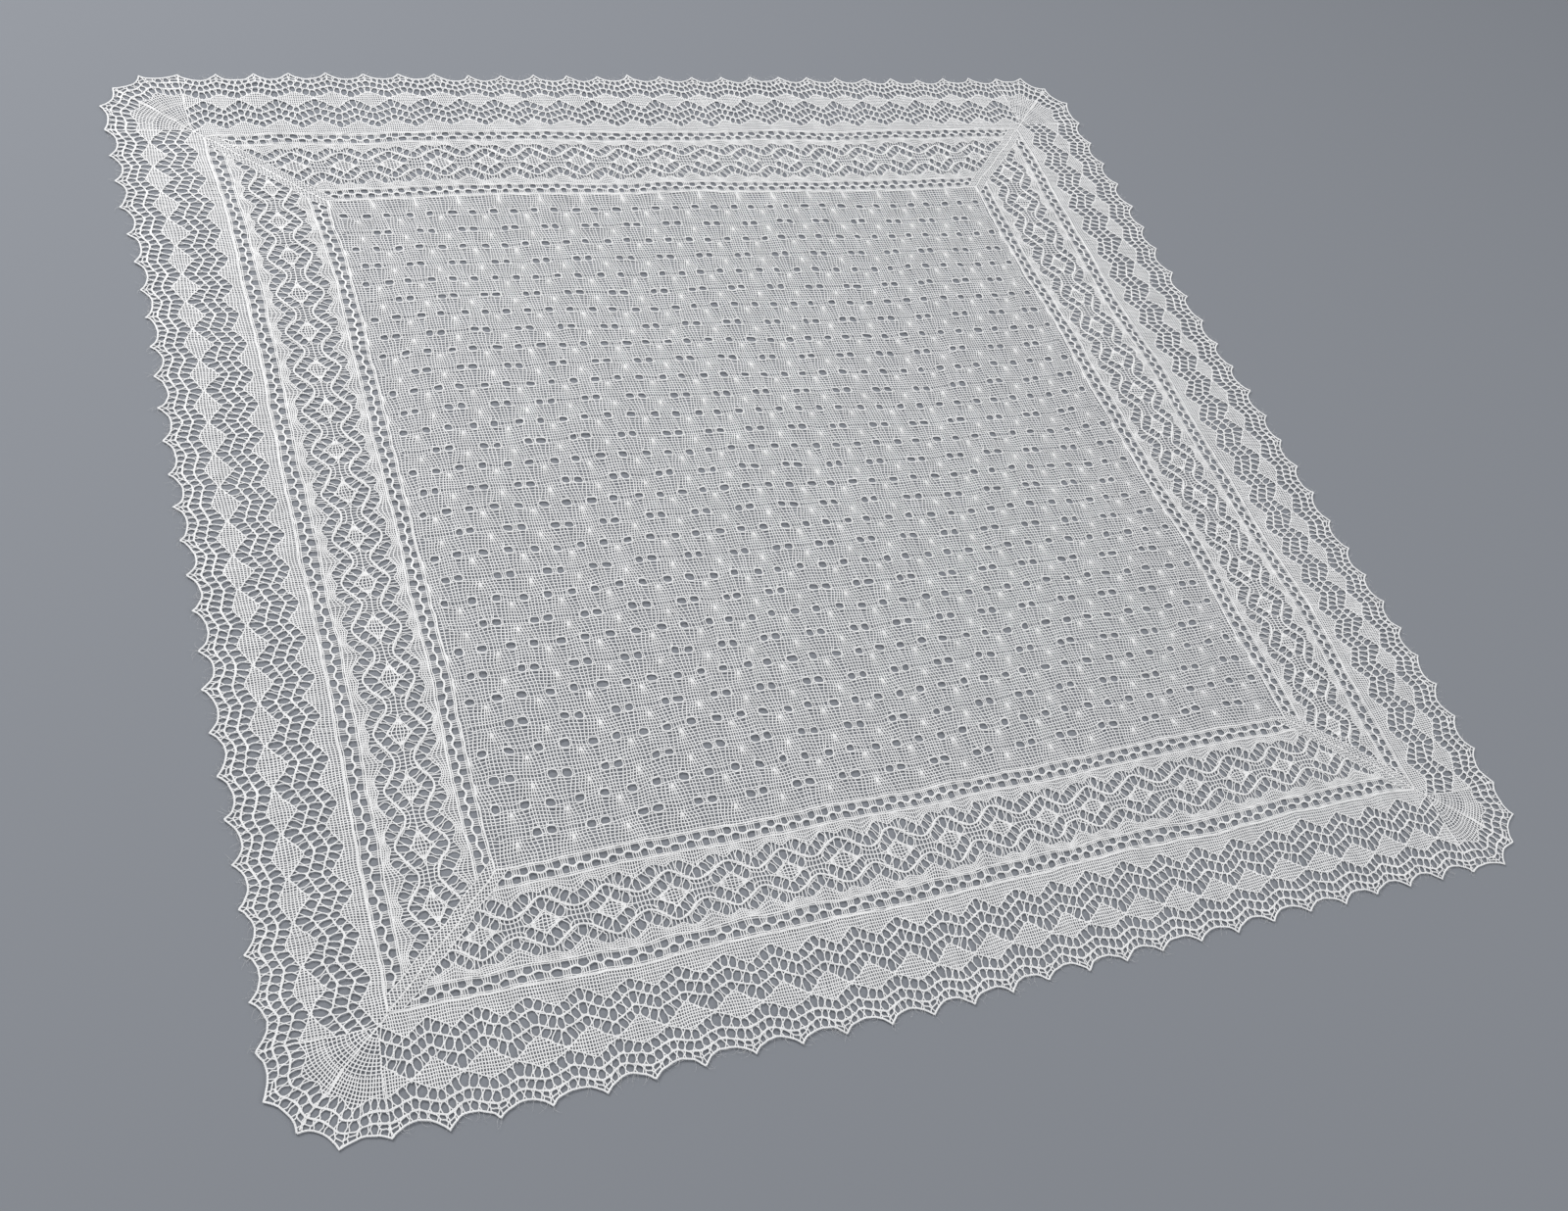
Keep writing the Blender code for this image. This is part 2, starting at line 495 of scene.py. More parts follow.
def insertion_holes():
    """The holes of the insertion's waves and flowers."""
    holes = []
    for above, below, middle in CLUSTERS:
        for k in range(5 * GROUP):
            x = middle + (k // 5) * FLOWER_PITCH + (k % 5 - 2) * HOLE_STEP
            top, bottom = insertion_line(above, x), insertion_line(below, x)
            slope = insertion_slope(above, x) + insertion_slope(below, x)
            half = 0.5 * float(bottom - top) - 0.25
            tilt = 0.8 * math.atan(0.5 * slope)
            holes.append((x, 0.5 * float(top + bottom), HOLE_HALF, half, tilt))
    return uneven(holes, 8)


def insertion_columns():
    """The insertion's columns, which lean across the rows of holes."""
    ys = np.linspace(BAND_TOP, BAND_BOTTOM, int((BAND_BOTTOM - BAND_TOP) / SAMPLE))
    columns, keeps = [], []
    for k in range(int(round(FLOWER_PITCH * GROUP / INSERTION_STITCH))):
        x = (k + 0.5) * INSERTION_STITCH
        lean = 0 * ys
        for above, below, _ in CLUSTERS:
            top, bottom = float(insertion_line(above, x)), float(insertion_line(below, x))
            inside = (ys > top - 1) & (ys < bottom + 1)
            slope = insertion_slope(above, x) + insertion_slope(below, x)
            lean[inside] = -INSERTION_LEAN * slope * (ys[inside] - 0.5 * (top + bottom))
        columns.append(np.c_[x + lean, ys])
        net_end = float(insertion_line("upper_tops", x)) - 0.6
        net_start = float(insertion_line("lower_bottoms", x)) + 0.6
        keeps.append((ys > net_end) & (ys < net_start))
    return np.array(columns), keeps


def insertion_rows(xs):
    """The insertion's lines and the rows between them: paths, looks and kept stretches."""
    every = np.ones(len(xs), bool)
    flower = np.abs(xs - FLOWER_PITCH * np.round(xs / FLOWER_PITCH))
    lines, looks, keeps = [], [], []
    names = list(INSERTION_LINES)
    for name, after in zip(names, names[1:] + names[-1:]):
        _, rows, height, width = INSERTION_LINES[name]
        here = insertion_line(name, xs)
        if width:
            low, high = LINE_SPANS.get(name, (-1, ENDLESS))
            lines.append(np.c_[xs, here])
            looks.append((height, width))
            keeps.append((flower > low) & (flower < high))
        for j in range(1, rows):
            lines.append(np.c_[xs, here + (insertion_line(after, xs) - here) * j / rows])
            looks.append((MID, THIN))
            keeps.append(flower < FLOWER_ROWS if name == "arch_bottoms" else every)
    return np.array(lines), looks, keeps


def insertion(yarns):
    """A mitred border: eyelets, waves with flowers in their eyes, and eyelets again."""
    side = Side(yarns, CENTRE_HALF + BORDER_DEPTH)
    period = FLOWER_PITCH * GROUP
    for first in EYELETS_START:
        eyelet_rows(side, first)
    holes = insertion_holes()
    columns, keeps = insertion_columns()
    for s, m, keep in zip(columns, settle(columns, False, holes, period, rounds=80), keeps):
        side.lay(s, m, period, keep, LOW, THIN, OPEN)
    net_count = int(round(period / NET_STITCH))
    upper, lower = partial(insertion_line, "upper_tops"), partial(insertion_line, "lower_bottoms")
    fine_net(side, NET_STITCH, net_count, BAND_TOP, upper, OPEN)
    fine_net(side, NET_STITCH, net_count, lower, BAND_BOTTOM, OPEN)
    n = int(round(period / SAMPLE))
    xs = np.arange(n) * period / n
    every = np.ones(n, bool)
    lines, looks, keeps = insertion_rows(xs)
    settled = settle(lines, True, holes, period, rounds=80)
    for s, m, (height, width), keep in zip(lines, settled, looks, keeps):
        side.lay(s, evened(m) if width == THICK else m, period, keep, height, width, OPEN)
    flat = 0 * lines[0]
    for d in np.arange(1.0, BORDER_DEPTH - 0.5, PLAIN_ROW):
        side.lay(level(xs, d), flat, period, every, MID, THIN, PLAIN)
    plain = upright(0.5 * PLAIN_STITCH, 1.0, BORDER_DEPTH - 0.8, 60)
    side.lay(plain, 0 * plain, PLAIN_STITCH, np.ones(len(plain), bool), LOW, THIN, PLAIN)
    for d in (0.5, BORDER_DEPTH - 0.5):
        side.lay(level(xs, d), flat, period, every, LOW, EDGE_LINE)
    seam(yarns, 0.8, BORDER_DEPTH - 0.8)


def arc_radius(chord, rise):
    """The radius of an arc that rises so far over its chord."""
    return 0.5 * rise + chord ** 2 / (8 * rise)


def scallop_depth(x):
    """Depth of the bound-off edge, in arcs hollowed inwards between the tips."""
    radius = arc_radius(TIP_PITCH, SCALLOP_RISE)
    u = np.asarray(x) / TIP_PITCH
    u = (u - np.floor(u) - 0.5) * TIP_PITCH
    return TIP_DEPTH - SCALLOP_RISE + radius - np.sqrt(radius ** 2 - u ** 2)


# Each line of the edging: its depth at a scallop's tip and midway between two tips
EDGING_LINES = (
    (114.8, 114.8, MID, RIM),
    (123.9, 136.8, MID, FINE),
    (136.2, 147.0, HIGH, THICK),
    (149.8, 159.8, HIGH, THICK),
    (159.8, 174.8, MID, FINE),
    (186.6, 176.9, MID, FINE),
    (197.2, 190.4, HIGH, THICK),
    (208.0, 200.4, HIGH, THICK),
)
# The lines that each row of holes lies between
HOLE_ROWS = ((1, 2), (2, 3), (3, 4), (5, 6), (6, 7))
# The plain rows between two lines: the first one's depth and the step
NET_ROWS = ((0, 1, 117.9, 3.1), (4, 5, 162.7, 3.1))
# A hole's half width, and the holes that are wider: stitches from the tip, and the line above
EDGING_HOLE = 3.7
WIDE_HOLES = {(0, 1): 3.9, (6, 3): 4.1, (6, 5): 4.3}
# Half width of the flat cells by the bound-off edge
CELL_HALF = 3.3
EDGING_STITCH = TIP_PITCH / 12
NET_COLUMNS = 18
# How far the columns lean across a row of holes, as a share of its slope
EDGING_LEAN = 0.3
# A thick line is two strands this far to either side of it, each this half width at most
CORD_STEP = 0.5
CORD_STRAND = 0.62
# How far from the last wave to the bound-off edge the last row lies at a scallop's tip, and
# how far from the tip, as a share of the pitch, it starts and ends its way in to the wave
LAST_ROW = 0.5
LAST_ROW_IN = (0.1, 0.33)
# The share below which it has merged with the wave
LAST_ROW_MERGED = 0.02
# The lowest cell that opens between the last wave and the last row
CELL_LEAST = 2.4
# The knot where two diamonds meet: its points, their heights and their half widths
DIAMOND_KNOT = np.array([[0, -2.6], [0, -0.8], [0, 0.9], [0, 2.8]]) + [0.5 * TIP_PITCH, 175.9]
DIAMOND_HEIGHTS = (0.3, 0.5, 0.5, 0.3)
DIAMOND_WIDTHS = (0.5, 1.3, 1.3, 0.5)


def edging_line(i, x):
    """The depth of one of the edging's lines at x."""
    return between(EDGING_LINES[i][0], EDGING_LINES[i][1], np.asarray(x) / TIP_PITCH)


def edging_slope(i, x):
    """How steeply one of the edging's lines goes down at x."""
    return edging_line(i, x + 0.5) - edging_line(i, x - 0.5)


def split(phase):
    """How far out the last row lies, which parts the cells at the tips into two rows."""
    off = np.abs(phase - np.round(phase))
    return LAST_ROW * (1 - smooth(off, *LAST_ROW_IN))


def last_row(x):
    """The depth of the last row at x."""
    share = split(np.asarray(x) / TIP_PITCH)
    return edging_line(7, x) * (1 - share) + scallop_depth(x) * share


def cells(x, ends, half, tilt):
    """One flat cell, or two where the last row is well away from the last wave.

    The ends are the depths of the last wave, the last row and the bound-off edge.
    """
    wave, row, edge = ends
    found = []
    if row - wave > CELL_LEAST:
        found.append((x, 0.5 * (wave + row), half, 0.5 * (row - wave) - 0.1, tilt))
    found.append((x, 0.5 * (row + edge) - 0.3, half, 0.5 * (edge - row) - 0.5, tilt))
    return found


def strands_of(i):
    """The strands of one of the edging's lines: how far beside it, and the half width."""
    width = EDGING_LINES[i][3]
    besides = (-CORD_STEP, CORD_STEP) if width == THICK else (0.0,)
    return [(beside, min(width, CORD_STRAND)) for beside in besides]


def edging_holes():
    """The holes of the edging's zigzags and waves, and the cells by its edge."""
    holes = []
    for k in range(6 * GROUP):
        x = 2 * k * EDGING_STITCH
        for a, b in HOLE_ROWS:
            ya, yb = float(edging_line(a, x)), float(edging_line(b, x))
            tilt = 0.75 * math.atan(float(0.5 * (edging_slope(a, x) + edging_slope(b, x))))
            half = WIDE_HOLES.get((2 * k % 12, a), EDGING_HOLE)
            holes.append((x, 0.5 * (ya + yb), half, 0.5 * (yb - ya) - 0.25, tilt))
        x += EDGING_STITCH
        ends = float(edging_line(7, x)), float(last_row(x)), float(scallop_depth(x))
        tilt = 0.7 * math.atan(float(last_row(x + 0.5) - last_row(x - 0.5)))
        holes += cells(x, ends, CELL_HALF, tilt)
    return uneven(holes, 21)


def edging_columns():
    """The edging's columns, which lean across the rows of holes."""
    n = 90
    columns, keeps = [], []
    for k in range(12 * GROUP):
        x = (k + 0.5) * EDGING_STITCH
        y = np.linspace(EDGING_LINES[0][0], float(scallop_depth(x)), n)
        lean = 0 * y
        for a, b in HOLE_ROWS:
            ya, yb = float(edging_line(a, x)), float(edging_line(b, x))
            inside = (y >= ya) & (y <= yb)
            slope = float(edging_slope(a, x) + edging_slope(b, x))
            lean[inside] = -EDGING_LEAN * slope * (y[inside] - 0.5 * (ya + yb))
        columns.append(np.c_[x + lean, y])
        keep = np.ones(n, bool)
        for a, b, _, _ in NET_ROWS:
            keep &= (y < float(edging_line(a, x)) + 0.5) | (y > float(edging_line(b, x)) - 0.5)
        keeps.append(keep)
    return np.array(columns), keeps


def edging(yarns):
    """A mitred edging: zigzags, solid diamonds, waves and a bound-off scalloped edge."""
    side = Side(yarns, CENTRE_HALF + TIP_DEPTH, CORNER_FROM + 0.6)
    period = TIP_PITCH * GROUP
    holes = edging_holes()
    columns, keeps = edging_columns()
    for s, m, keep in zip(columns, settle(columns, False, holes, period, rounds=80), keeps):
        side.lay(s, m, period, keep, LOW, THIN)
    n = int(round(period / SAMPLE)) + 1
    xs = np.arange(n) * period / n
    every = np.ones(n, bool)
    lines, looks, keeps = [], [], []
    for i, (_, _, height, _) in enumerate(EDGING_LINES):
        for beside, width in strands_of(i):
            lines.append(np.c_[xs, edging_line(i, xs) + beside])
            looks.append((height if beside <= 0 else MID, width))
            keeps.append(every)
    for a, b, first, step in NET_ROWS:
        for y in np.arange(first, max(EDGING_LINES[b][:2]), step):
            lines.append(level(xs, y))
            looks.append((MID, THIN))
            keeps.append((y > edging_line(a, xs)) & (y < edging_line(b, xs) + 0.6))
        top, bottom = partial(edging_line, a), partial(edging_line, b)
        fine_net(side, TIP_PITCH / NET_COLUMNS, NET_COLUMNS * GROUP, top, bottom)
    lines.append(np.c_[xs, last_row(xs)])
    looks.append((MID, FINE))
    keeps.append(split(xs / TIP_PITCH) > LAST_ROW_MERGED)
    lines = np.array(lines)
    settled = settle(lines, True, holes, period, rounds=80)
    for s, m, (height, width), keep in zip(lines, settled, looks, keeps):
        side.lay(s, m, period, keep, height, width)
    s = np.c_[xs, scallop_depth(xs)]
    side.lay(s, 0 * s, period, every, HIGH, BOUND)
    knot = DIAMOND_KNOT
    side.lay(knot, 0 * knot, TIP_PITCH, np.ones(4, bool), DIAMOND_HEIGHTS, DIAMOND_WIDTHS)
    corner(yarns)
    hairs(yarns)


# Loose hairs of the wool: how many lie along each side's edge, how long they are, how many
# steps each takes, and its half width at the root
HAIRS = 420
HAIR_LENGTH = (4.0, 13.0)
HAIR_STEPS = 6
HAIR_HALF = 0.09


def hairs(yarns):
    """Loose ends of the wool's halo, which stand out from the bound-off edge."""
    rng = np.random.default_rng(17)
    for _ in range(HAIRS):
        x = rng.uniform(-CORNER_FROM, CORNER_FROM)
        heading = rng.uniform(0.15, 0.85) * math.pi
        turn = rng.uniform(-0.5, 0.5)
        length = rng.uniform(*HAIR_LENGTH)
        headings = heading + turn * np.arange(HAIR_STEPS)
        steps = np.c_[np.cos(headings), np.sin(headings)] * length / HAIR_STEPS
        root = np.array([x, float(scallop_depth(x)) - 0.5])
        p = root + np.r_[[[0, 0]], np.cumsum(steps, axis=0)]
        width = -HAIR_HALF * np.linspace(1, 0.35, len(p))
        height = np.linspace(0.5, rng.uniform(0.1, 1.2), len(p))
        yarns.add(p, np.ones(len(p), bool), height, width)


# The corner's fan turns round one point on the mitre, level with the last straight tip
CORNER_FROM = 13 * TIP_PITCH
CORNER_OUT = CORNER_FROM - CENTRE_HALF
FAN_HOLES = 8
# Angles are turned into lengths at this radius while the fan's strands settle
FAN_RADIUS = 75.0
# The fan's plain rows: their pitch, the first one's radius and where they end
FAN_ROW = 3.45
FAN_ROWS = (6.0, 70.0)
# The radii at which its columns start, in turn, so that they don't crowd in the middle
FAN_STARTS = (9.0, 42.0, 24.0, 42.0)
# The wavy column where the fan starts: half its swing, and the radii over which it ends
FIRST_SWING = 0.55
FIRST_STRAIGHT = (48.0, 58.0)


def corner_edge():
    """Angles and radii of the bound-off edge round a corner, from arc to arc."""
    tips = [(CORNER_FROM, TIP_DEPTH)] + list(CORNER_TIPS)
    arcs = []
    for (x0, d0), (x1, d1) in zip(tips, tips[1:]):
        chord = math.hypot(x1 - x0, d1 - d0)
        radius = arc_radius(chord, CORNER_RISE)
        u = (np.linspace(0, 1, 13) - 0.5) * chord
        lift = CORNER_RISE - radius + np.sqrt(radius ** 2 - u ** 2)
        along = np.array([x1 - x0, d1 - d0]) / chord
        inward = np.array([along[1], -along[0]])
        points = np.array([x0, d0]) + np.outer(u + 0.5 * chord, along) + np.outer(lift, inward)
        arcs.append(points - [CORNER_FROM, CORNER_OUT])
    points = np.concatenate(arcs)
    return np.arctan2(points[:, 0], points[:, 1]), np.hypot(points[:, 0], points[:, 1])


def corner(yarns):
    """The rounded end of a side: a dense fan of columns inside two rows of holes."""
    half = 0.25 * math.pi
    edge_angles, edge_radii = corner_edge()
    tips = np.array([(CORNER_FROM, TIP_DEPTH)] + list(CORNER_TIPS)) - [CORNER_FROM, CORNER_OUT]
    tip_angles = np.arctan2(tips[:, 0], tips[:, 1])
    tip_radii = np.hypot(tips[:, 0], tips[:, 1])

    def phase(a):
        return np.interp(a, tip_angles, (0.0, 1.0, 2.0))

    def reach(a):
        """Radius of a smooth line through the tips."""
        whole, part = np.divmod(phase(a), 1.0)
        return np.interp(whole + smooth(part, 0, 1), (0.0, 1.0, 2.0), tip_radii)

    def line(i, a):
        at_tip = TIP_DEPTH - EDGING_LINES[i][0]
        at_node = TIP_DEPTH - EDGING_LINES[i][1]
        return reach(a) - between(at_tip, 0.4 * at_tip + 0.6 * at_node, phase(a), 0.8)

    def edge(a):
        return np.interp(a, edge_angles, edge_radii)

    def last(a):
        share = split(phase(a))
        return line(7, a) * (1 - share) + edge(a) * share

    def put(start, moved, keep, height, width):
        q = start + moved
        a, r = q[:, 0] / FAN_RADIUS, q[:, 1]
        inside = keep & (a > -1e-6) & (a < half + 1e-6)
        for sign in (-1, 1):
            p = np.c_[sign * (CORNER_FROM + r * np.sin(a)), CORNER_OUT + r * np.cos(a)]
            yarns.add(p, inside, height, width)

    holes = []
    wide = 0.49 * half / FAN_HOLES * FAN_RADIUS
    for h in range(FAN_HOLES):
        a = half * (h + 0.5) / FAN_HOLES
        for i in (5, 6):
            near, far = float(line(i, a)), float(line(i + 1, a))
            holes.append((a * FAN_RADIUS, 0.5 * (near + far), wide, 0.5 * (far - near) - 0.25, 0.0))
        ends = float(line(7, a)), float(last(a)), float(edge(a))
        holes += cells(a * FAN_RADIUS, ends, 0.9 * wide, 0.0)
    holes = uneven(holes, 13)
    n = 80
    columns = []
    for c in range(2 * FAN_HOLES):
        a = half * (c + 0.5) / (2 * FAN_HOLES)
        columns.append(upright(a * FAN_RADIUS, FAN_STARTS[c % 4], float(edge(a)), n))
    columns = np.array(columns)
    every = np.ones(n, bool)
    for s, m in zip(columns, settle(columns, False, holes, ENDLESS)):
        put(s, m, every, LOW, THIN)
    r = np.linspace(1.0, float(edge(0)), 2 * n)
    beside = FIRST_SWING * (1 - np.cos(2 * np.pi * r / FAN_ROW)) * (1 - smooth(r, *FIRST_STRAIGHT))
    beside *= FAN_RADIUS / np.maximum(r, FAN_ROWS[0])
    put(np.c_[beside, r], 0, np.ones(2 * n, bool), LOW, THIN)
    a = np.linspace(0, half, 70)
    every = np.ones(len(a), bool)
    lines, looks, keeps = [], [], []
    for r in np.arange(*FAN_ROWS, FAN_ROW):
        lines.append(level(a * FAN_RADIUS, r))
        looks.append((MID, THIN))
        keeps.append(r < line(5, a) - 0.8)
    for i in (5, 6, 7):
        for beside, width in strands_of(i):
            lines.append(np.c_[a * FAN_RADIUS, line(i, a) + beside])
            looks.append((EDGING_LINES[i][2], width))
            keeps.append(every)
    lines.append(np.c_[a * FAN_RADIUS, last(a)])
    looks.append((MID, FINE))
    keeps.append(split(phase(a)) > LAST_ROW_MERGED)
    lines = np.array(lines)
    settled = settle(lines, False, holes, ENDLESS)
    for s, m, (height, width), keep in zip(lines, settled, looks, keeps):
        put(s, m, keep, height, width)
    put(np.c_[a * FAN_RADIUS, edge(a)], 0, every, HIGH, BOUND)
    d = np.linspace(BORDER_DEPTH + 0.8, CORNER_TIPS[1][1] - 2.0, 60)
    for sign in (-1, 1):
        p = np.c_[sign * (CENTRE_HALF + d - 0.6), d]
        yarns.add(p, np.ones(len(d), bool), LOW, EDGE_LINE)


# Meshes

# The cloth's unevenness in plan, and its swells off the floor: wavelength and size of each
# wave, in millimetres
SWAYS = ((310.0, 1.4), (150.0, 1.0), (64.0, 0.6), (31.0, 0.4), (16.0, 0.26), (8.0, 0.2))
SWELLS = ((210.0, 0.5), (90.0, 0.3), (23.0, 0.15))
# The shading's turn from the vertical at a strand's edges, in radians
TILT = 0.85
# How high a strand without a ridge lies above its lower edge, as a share of its half width
FLAT_RISE = 0.4
# The longest chord of a simplified strand, and how far it may stray from the strand's path
# in the centre and in the borders
CHORD_MOST = 12.0
STRAY_MOST = 0.18
BORDER_STRAY = 0.12
# How many times a strand's points are halved
HALVINGS = 4
# How far each side's outer edge has been pulled out, at six places along it in order
# of x or y, and where the pull starts and is full, out from the shawl's middle
PULLED_AT = (-600.0, -450.0, -300.0, 0.0, 300.0, 600.0)
PULLS = {
    "near": (13.0, 16.0, 11.0, 7.0, -6.0, -12.0),
    "far": (-2.0, 2.0, 4.0, 4.0, 2.0, 6.0),
    "right": (17.0, 18.0, 17.0, 8.0, -3.0, -3.0),
    "left": (20.0, 14.0, 7.0, 3.0, -4.0, 9.0),
}
PULL_FROM = 120.0
PULL_FULL = 480.0
# The centre's rows rise to the left and fall to the right of its middle: how far, how far
# to the sides that takes, and the depth of the slant's middle and its reach
ROW_SLANT = 8.0
SLANT_ACROSS = 180.0
SLANT_AT = 90.0
SLANT_REACH = 230.0


def pulled(side, along, out):
    """How far a point has moved out towards one side."""
    near_by = [np.interp(along + beside, PULLED_AT, PULLS[side]) for beside in (-90, -30, 30, 90)]
    return 0.25 * sum(near_by) * smooth(out, PULL_FROM, PULL_FULL)


def sway(p):
    """How far the cloth has been pulled out of true at each point of the plan."""
    rng = np.random.default_rng(11)
    x, y = p[:, 0], p[:, 1]
    move = np.zeros_like(p)
    move[:, 0] = pulled("right", y, x) - pulled("left", y, -x)
    move[:, 1] = pulled("far", x, y) - pulled("near", x, -y)
    slant = np.clip(-x / SLANT_ACROSS, -1, 1) * np.exp(-(((y - SLANT_AT) / SLANT_REACH) ** 2))
    move[:, 1] += ROW_SLANT * slant * smooth(500.0 - np.abs(x), 0, 150)
    for wavelength, size in SWAYS:
        for _ in range(4):
            heading = rng.uniform(0, 2 * math.pi)
            turn = rng.uniform(0, 2 * math.pi, 2)
            k = 2 * math.pi / (wavelength * rng.uniform(0.8, 1.25))
            phase = k * (math.cos(heading) * p[:, 0] + math.sin(heading) * p[:, 1])
            move[:, 0] += 0.5 * size * np.sin(phase + turn[0])
            move[:, 1] += 0.5 * size * np.sin(phase + turn[1])
    return move


def lift(p):
    """How far the cloth stands off the floor, in soft swells."""
    rng = np.random.default_rng(5)
    z = np.zeros(len(p))
    for wavelength, size in SWELLS:
        for _ in range(3):
            heading = rng.uniform(0, 2 * math.pi)
            k = 2 * math.pi / wavelength
            phase = k * (math.cos(heading) * p[:, 0] + math.sin(heading) * p[:, 1])
            z += size / 3 * (1 + np.sin(phase + rng.uniform(0, 2 * math.pi)))
    return z


def simplified(p, data, run, stray):
    """Drops every second point that lies near the chord of its neighbours, a few times."""
    for _ in range(HALVINGS):
        n = len(p)
        first = np.r_[True, run[1:] != run[:-1]]
        start = np.maximum.accumulate(np.where(first, np.arange(n), 0))
        odd = (np.arange(n) - start) % 2 == 1
        last = np.r_[run[1:] != run[:-1], True]
        chord = np.zeros_like(p)
        chord[1:-1] = p[2:] - p[:-2]
        length = np.hypot(chord[:, 0], chord[:, 1]) + 1e-9
        rel = np.zeros_like(p)
        rel[1:] = p[1:] - p[:-1]
        off = np.abs(chord[:, 0] * rel[:, 1] - chord[:, 1] * rel[:, 0]) / length
        drop = odd & ~last & ~first & (off < stray) & (length < CHORD_MOST)
        p, data, run = p[~drop], data[~drop], run[~drop]
    return p, data, run


def frames(p, joined):
    """Each point's direction across its strand, the strand's length so far and its mitre."""
    step = p[1:] - p[:-1]
    length = np.hypot(step[:, 0], step[:, 1]) * joined + 1e-9
    ahead = step / length[:, None] * joined[:, None]
    tangent = np.r_[ahead, [[0, 0]]] + np.r_[[[0, 0]], ahead]
    size = np.hypot(tangent[:, 0], tangent[:, 1]) + 1e-9
    tangent /= size[:, None]
    ends = ~(np.r_[joined, False] & np.r_[False, joined])
    mitre = np.where(ends, 1.0, np.clip(2 / size, 1.0, 1.6))
    normal = np.c_[-tangent[:, 1], tangent[:, 0]]
    return normal, np.r_[0, np.cumsum(length * joined)], mitre


def strip_mesh(name, runs, turn, stray):
    """One mesh of ridged and flat strips that follow the strands, turned to its side."""
    run = np.concatenate([np.full(len(r[0]), i) for i, r in enumerate(runs)])
    p = np.concatenate([r[0] for r in runs])
    data = np.c_[np.concatenate([r[1] for r in runs]), np.concatenate([r[2] for r in runs])]
    p, data, run = simplified(p, data, run, stray)
    c, s = math.cos(turn), math.sin(turn)
    p = np.c_[c * p[:, 0] - s * p[:, 1], s * p[:, 0] + c * p[:, 1]]
    base = lift(p) + data[:, 0]
    p = p + sway(p)
    joined = run[1:] == run[:-1]
    normal, along, mitre = frames(p, joined)
    ridged = data[:, 1] > 0
    half = np.abs(data[:, 1])
    co, normals, uv, first = [], [], [], {}
    for across in (-1, 1, 0):
        kept = ridged if across == 0 else np.ones(len(p), bool)
        first[across] = np.cumsum(kept) - 1 + sum(len(part) for part in co)
        rise = (0 if across else 1.0) * half + FLAT_RISE * half * ~ridged
        co.append(np.c_[p + normal * (half * mitre * across)[:, None], base + rise][kept])
        out = TILT * across
        normals.append(np.c_[normal * math.sin(out), np.full(len(p), math.cos(out))][kept])
        uv.append(np.c_[0.001 * along, np.full(len(p), 0.0005 * across)][kept])
    co, normals, uv = np.concatenate(co), np.concatenate(normals), np.concatenate(uv)
    left, right, ridge = first[-1], first[1], first[0]
    ridge_runs = ridged[:-1] & ridged[1:]
    quads = []
    for kept, a, b in (
        (joined & ~ridge_runs, left, right),
        (joined & ridge_runs, left, ridge),
        (joined & ridge_runs, ridge, right),
    ):
        i = np.flatnonzero(kept)
        quads.append(np.c_[a[i], a[i + 1], b[i + 1], b[i]])
    quads = np.concatenate(quads)
    mesh = bpy.data.meshes.new(name)
    mesh.vertices.add(len(co))
    mesh.vertices.foreach_set("co", (0.001 * co).ravel())
    mesh.loops.add(4 * len(quads))
    mesh.loops.foreach_set("vertex_index", quads.ravel())
    mesh.polygons.add(len(quads))
    mesh.polygons.foreach_set("loop_start", np.arange(len(quads)) * 4)
    mesh.update(calc_edges=True)
    mesh.shade_smooth()
    layer = mesh.uv_layers.new(name="Strand")
    layer.data.foreach_set("uv", uv[quads.ravel()].ravel())
    mesh.normals_split_custom_set_from_vertices(normals)
    piece = bpy.data.objects.new(name, mesh)
    bpy.context.scene.collection.objects.link(piece)
    return piece


# Materials


